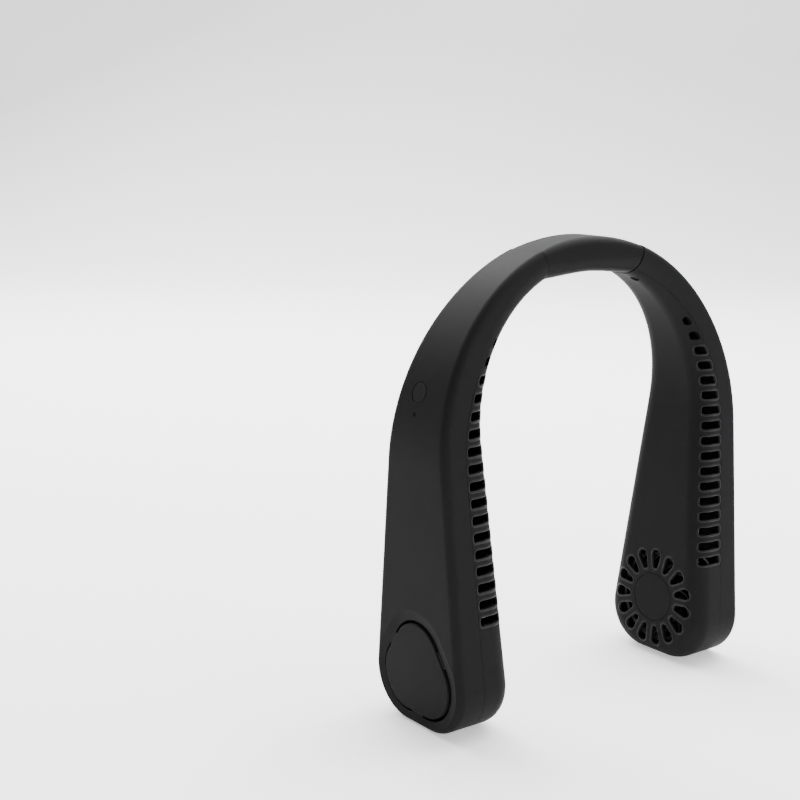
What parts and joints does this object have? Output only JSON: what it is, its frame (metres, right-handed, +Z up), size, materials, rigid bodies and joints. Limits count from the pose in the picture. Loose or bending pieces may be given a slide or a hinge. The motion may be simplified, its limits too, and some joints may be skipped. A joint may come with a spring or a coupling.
{
  "type": "neck fan",
  "caption": "Wearable horseshoe neck fan: two hollow arms on a bending neck link, petal intakes at the feet, a ladder of air outlets along the front edges and a push button.",
  "frame": {"origin": "on the floor under the middle of the part, between the two feet", "axes": "+Z up from the feet to the neck link, -Y the front edges with the air outlets, +X from the left arm with the button to the right arm"},
  "size_m": [0.1776, 0.0578, 0.2047],
  "materials": {
    "casing": "satin",
    "cover": "satin",
    "neck_rubber": "matte",
    "button": "satin",
    "impeller": "satin",
    "duct": "matte",
    "lens": "frosted",
    "screw_steel": "black oxide",
    "plate_steel": "zinc plated",
    "shaft_steel": "ground",
    "spring_steel": "rolled",
    "core_steel": "laminated",
    "bearing_bronze": "sintered",
    "coil_copper": "enamelled copper wire",
    "magnet": "moulded ferrite",
    "battery_foil": "foil",
    "cable_rubber": "matte",
    "board": "solder mask",
    "switch": "matte",
    "socket_steel": "nickel plated"
  },
  "bodies": {
    "left_arm": {"left_outer_shell": "casing", "left_inner_shell": "casing", "left_intake_cover": "cover", "left_motor_cap": "cover", "left_motor_screws": "screw_steel", "left_motor_plate": "plate_steel", "left_bearing": "bearing_bronze", "left_stator": "core_steel", "left_stator_coils": "coil_copper", "left_duct_cover": "duct", "left_battery": "battery_foil", "left_neck_plug": "duct", "left_neck_screw": "screw_steel", "led_lens": "lens", "tact_switch": "switch", "main_board": "board", "board_screws": "screw_steel", "usb_socket": "socket_steel", "neck_sleeve": "neck_rubber", "neck_spine": "spring_steel", "neck_cable": "cable_rubber"},
    "right_arm": {"right_outer_shell": "casing", "right_inner_shell": "casing", "right_intake_cover": "cover", "right_motor_cap": "cover", "right_motor_screws": "screw_steel", "right_motor_plate": "plate_steel", "right_bearing": "bearing_bronze", "right_stator": "core_steel", "right_stator_coils": "coil_copper", "right_duct_cover": "duct", "right_battery": "battery_foil", "right_neck_plug": "duct", "right_neck_screw": "screw_steel"},
    "left_rotor": {"left_impeller": "impeller", "left_rotor_can": "plate_steel", "left_rotor_magnet": "magnet", "left_shaft": "shaft_steel"},
    "right_rotor": {"right_impeller": "impeller", "right_rotor_can": "plate_steel", "right_rotor_magnet": "magnet", "right_shaft": "shaft_steel"},
    "button": {"power_button": "button"}
  },
  "joints": [
    {"name": "neck_flex", "type": "hinge", "parent": "left_arm", "child": "right_arm", "pos_m": [0, 0, 0.1986], "axis": [0, -1, 0], "range_deg": [-4, 14], "stiffness_Nm_per_rad": 6, "deforming": ["neck_sleeve", "neck_spine", "neck_cable"]},
    {"name": "left_impeller_spin", "type": "hinge", "parent": "left_arm", "child": "left_rotor", "pos_m": [-0.05765, 0, 0.0285], "axis": [-0.9972, 0, -0.075], "continuous": true},
    {"name": "right_impeller_spin", "type": "hinge", "parent": "right_arm", "child": "right_rotor", "pos_m": [0.05765, 0, 0.0285], "axis": [0.9972, 0, -0.075], "continuous": true},
    {"name": "power_button_press", "type": "slide", "parent": "left_arm", "child": "button", "axis": [0.9494, 0, -0.314], "range_m": [0, 0.0004], "stiffness_N_per_m": 1500}
  ]
}
